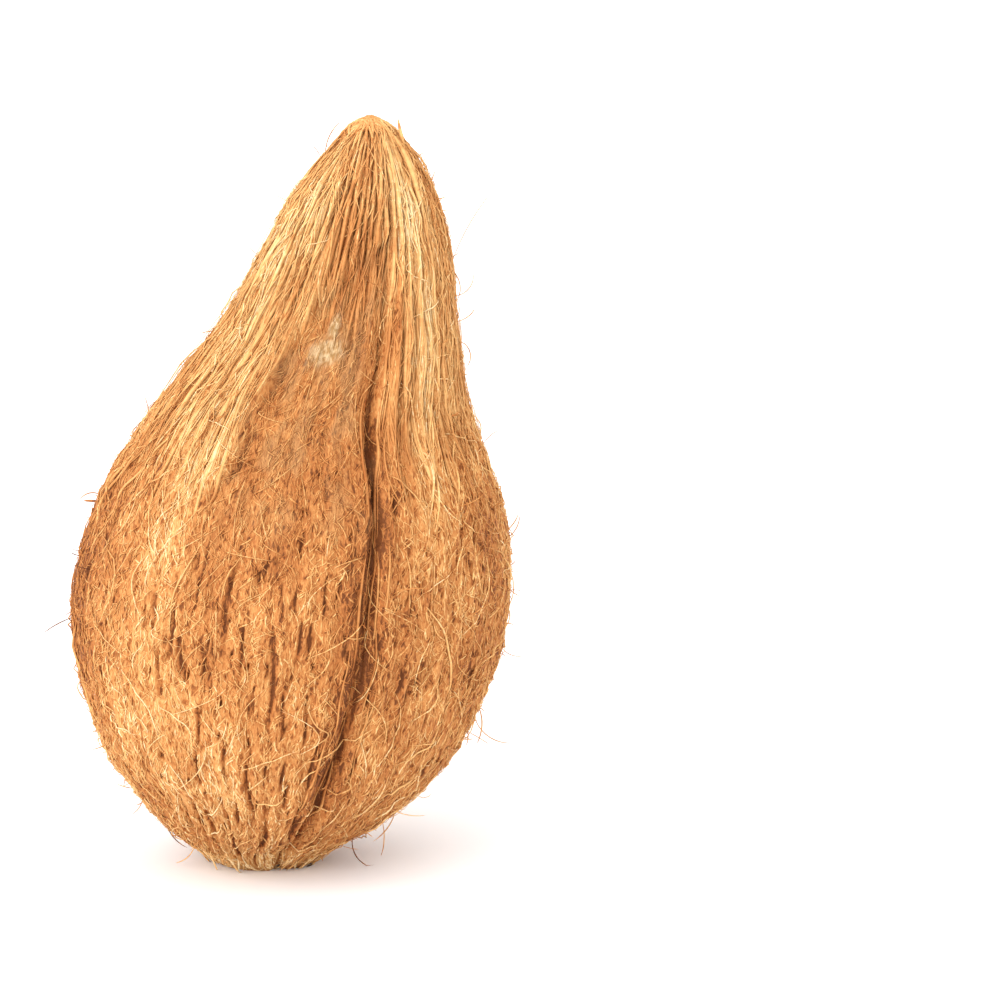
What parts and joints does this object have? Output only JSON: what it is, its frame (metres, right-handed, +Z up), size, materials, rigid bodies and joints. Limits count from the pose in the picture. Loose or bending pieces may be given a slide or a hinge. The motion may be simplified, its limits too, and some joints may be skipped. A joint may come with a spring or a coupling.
{
  "type": "coconut",
  "caption": "Semi-husked coconut that stands on its blossom end: an egg-shaped nut under a matted fibre coat, with sunken seams, rising into a leaning tuft of long fibre.",
  "frame": {"origin": "on the surface the coconut stands on, under the middle of its bounding box, inside the flat spot at the blossom end", "axes": "+Z up from the flat spot towards the tip of the tuft; -Y is the front, with the bare face and the near seam; the tuft leans towards +X"},
  "size_m": [0.1166, 0.1135, 0.1996],
  "materials": {
    "coir_fibre": "matt, dry, rough plant fibre"
  },
  "bodies": {
    "root": {"coconut": "coir_fibre"}
  },
  "joints": []
}
